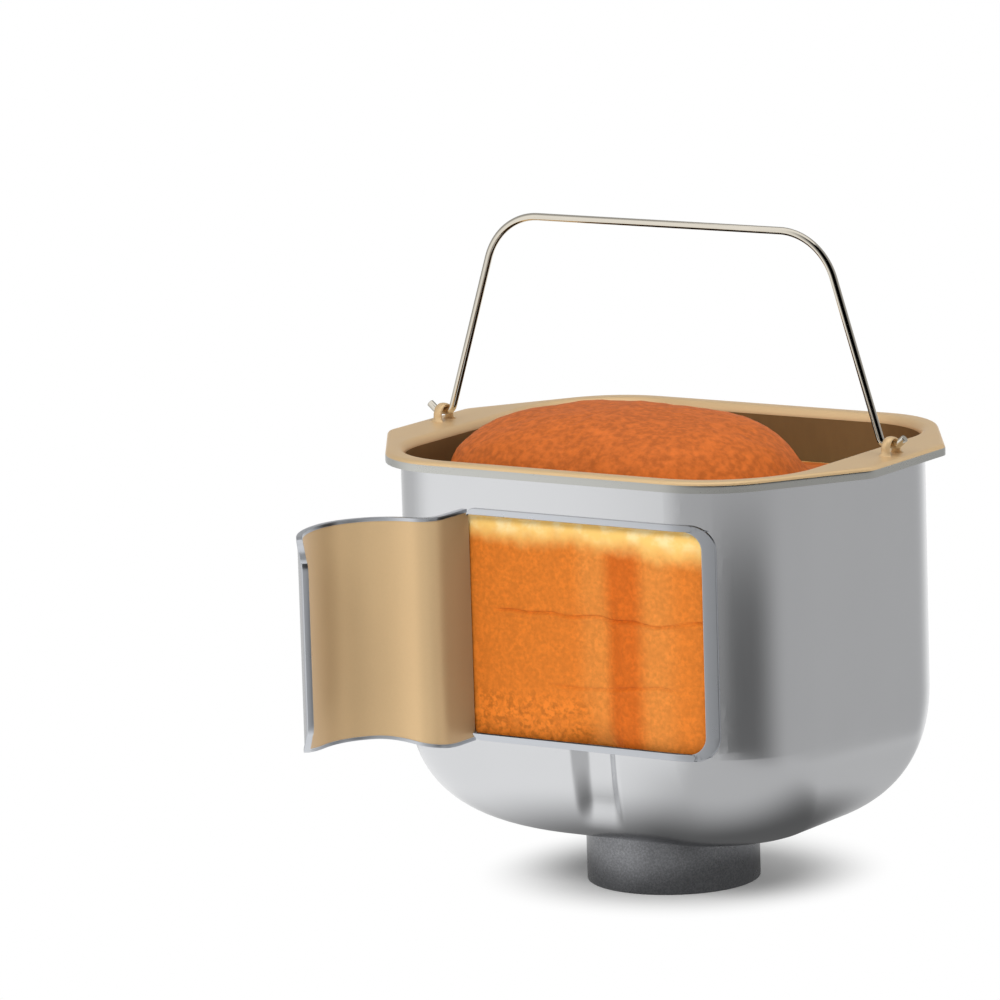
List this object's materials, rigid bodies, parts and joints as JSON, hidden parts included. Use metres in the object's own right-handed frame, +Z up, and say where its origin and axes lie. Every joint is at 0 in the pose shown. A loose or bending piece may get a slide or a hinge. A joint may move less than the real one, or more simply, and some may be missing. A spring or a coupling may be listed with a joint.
{
  "type": "bread machine baking pan",
  "caption": "Removable baking pan of a bread machine with wire bail, cast coupling base, kneading drive and a window cut in its front wall that shows the loaf inside.",
  "frame": {"origin": "centre of the collar's bottom face, on the surface that the pan stands on, on the drive shaft's axis", "axes": "+Z up along the drive shaft, +X along the pan's length and the bail's hinge line, -Y towards the windowed front wall"},
  "size_m": [0.207, 0.2343, 0.2444],
  "materials": {
    "drawn_aluminium": "satin drawn sheet, gold non-stick inside",
    "coated_rim": "satin gold non-stick over aluminium",
    "bright_edging": "bright cut edge",
    "nonstick_coating": "satin gold non-stick",
    "cast_base": "rough grey die casting",
    "plated_steel": "zinc plated",
    "silicone": "matt red-brown silicone",
    "turned_aluminium": "turned",
    "sintered_bronze": "sintered, oiled",
    "oiled_felt": "felt",
    "stainless": "ground",
    "white_nylon": "matt",
    "spring_steel": "blued",
    "sintered_steel": "sintered",
    "dark_nonstick": "dark non-stick",
    "bail_wire": "polished",
    "bread_crust": "baked crust"
  },
  "bodies": {
    "pan": {"pan_shell": "drawn_aluminium", "pan_rim": "coated_rim", "window_trim": "bright_edging", "window_flap": "nonstick_coating", "flap_trim": "bright_edging", "base_collar": "cast_base", "collar_rivets": "plated_steel", "housing_gasket": "silicone", "bearing_housing": "turned_aluminium", "housing_washer": "plated_steel", "housing_nut": "plated_steel", "lower_bush": "sintered_bronze", "oil_felt": "oiled_felt", "upper_bush": "sintered_bronze", "shaft_seal": "silicone", "seal_cap": "stainless", "upper_thrust_washer": "white_nylon", "lower_thrust_washer": "white_nylon"},
    "drive": {"drive_shaft": "stainless", "shaft_circlip": "spring_steel", "drive_coupling": "sintered_steel", "coupling_pin": "spring_steel"},
    "paddle": {"kneading_paddle": "dark_nonstick"},
    "bail": {"bail_handle": "bail_wire"},
    "loaf": {"loaf": "bread_crust"}
  },
  "joints": [
    {"name": "bail_hinge", "type": "hinge", "parent": "pan", "child": "bail", "pos_m": [0, 0, 0.168], "axis": [1, 0, 0], "range_deg": [-91.4, 91.4]},
    {"name": "drive_spin", "type": "hinge", "parent": "pan", "child": "drive", "pos_m": [0, 0, 0.01], "axis": [0, 0, 1], "continuous": true},
    {"name": "paddle_lift", "type": "slide", "parent": "drive", "child": "paddle", "axis": [0, 0, 1], "range_m": [0, 0.015]},
    {"name": "loaf_lift", "type": "slide", "parent": "pan", "child": "loaf", "axis": [0, 0, 1], "range_m": [0, 0.015]}
  ],
  "couplings": [
    {"joint": "paddle_lift", "follows": "loaf_lift", "ratio": 1}
  ]
}
